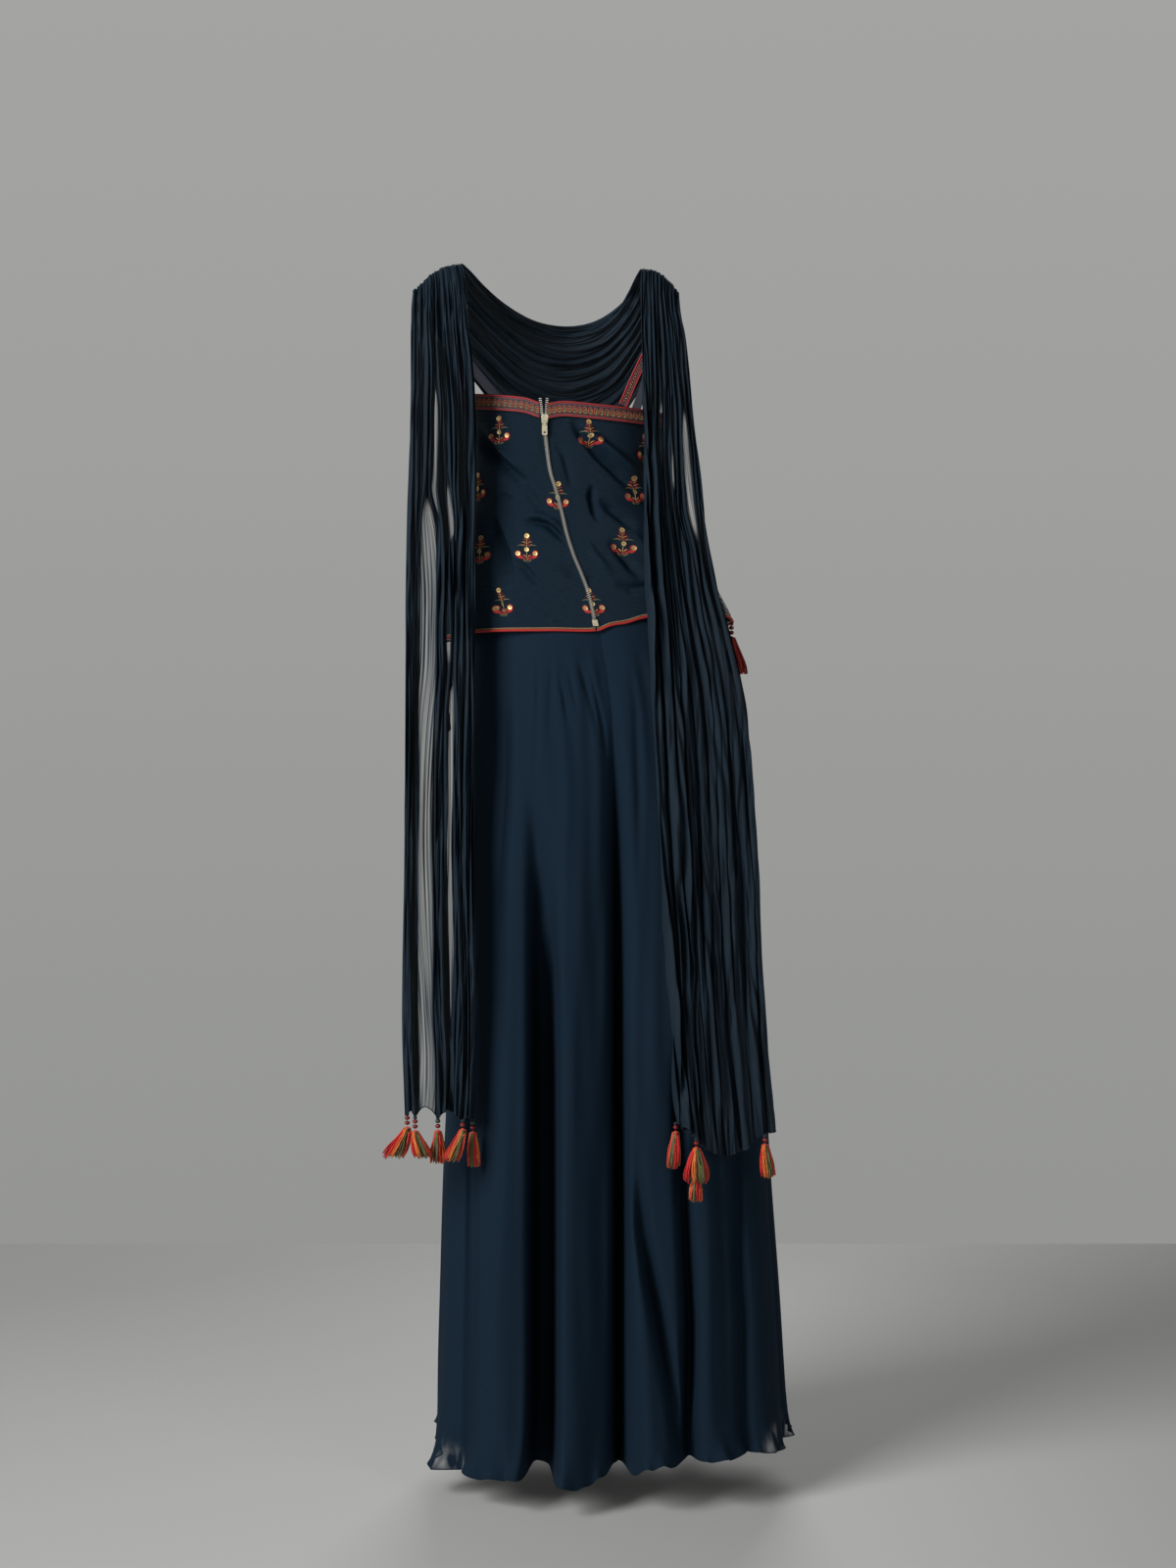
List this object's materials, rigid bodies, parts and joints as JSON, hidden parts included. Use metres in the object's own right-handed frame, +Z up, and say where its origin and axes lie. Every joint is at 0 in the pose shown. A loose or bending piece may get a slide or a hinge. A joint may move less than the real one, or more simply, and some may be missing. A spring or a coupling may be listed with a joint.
{
  "type": "palazzo suit",
  "caption": "Palazzo suit in worn form: fitted strappy top with a skewed back zip, wide palazzo trousers and a pleated tasselled scarf with both ends behind.",
  "frame": {"origin": "centre of the trousers' waistband, 1.12 m above the floor the wearer stands on", "axes": "+Z up; the wearer faces +Y; +X is the wearer's right"},
  "size_m": [0.4958, 0.3341, 1.4744],
  "materials": {
    "top_silk": "navy silk with a soft sheen",
    "braid": "woven red braid",
    "zip_metal": "polished metal",
    "palazzo_georgette": "matt georgette",
    "dupatta_chiffon": "sheer crinkled chiffon",
    "thread_coral": "loose thread",
    "thread_orange": "loose thread",
    "thread_olive": "loose thread",
    "thread_dark_red": "loose thread"
  },
  "bodies": {
    "suit": {"top_back_left": "top_silk", "top_back_right": "top_silk", "top_front": "top_silk", "top_border_band": "braid", "top_hem_piping": "braid", "strap_right": "braid", "strap_left": "braid", "zip_chain": "zip_metal", "zip_bottom_stop": "zip_metal", "zip_open_row_left": "zip_metal", "zip_open_row_right": "zip_metal", "zip_slider": "zip_metal", "palazzo_waistband": "palazzo_georgette", "palazzo_back_left": "palazzo_georgette", "palazzo_front_left": "palazzo_georgette", "palazzo_back_right": "palazzo_georgette", "palazzo_front_right": "palazzo_georgette", "dupatta_left_fall": "dupatta_chiffon", "dupatta_front_drape": "dupatta_chiffon", "dupatta_right_fall": "dupatta_chiffon", "tassel_left_1": "thread_orange", "tassel_left_2": "thread_coral", "tassel_left_3": "thread_coral", "tassel_left_4": "thread_orange", "tassel_left_5": "thread_coral", "tassel_right_1": "thread_coral", "tassel_right_2": "thread_olive", "tassel_right_3": "thread_orange", "latkan_right": "thread_dark_red", "latkan_left": "thread_dark_red"},
    "zip_pull": {"zip_pull_tab": "zip_metal"}
  },
  "joints": [
    {"name": "pull_tab_swing", "type": "hinge", "parent": "suit", "child": "zip_pull", "pos_m": [-0.05177, -0.09836, 0.1935], "axis": [-1, 0, 0], "range_deg": [0, 150]}
  ]
}
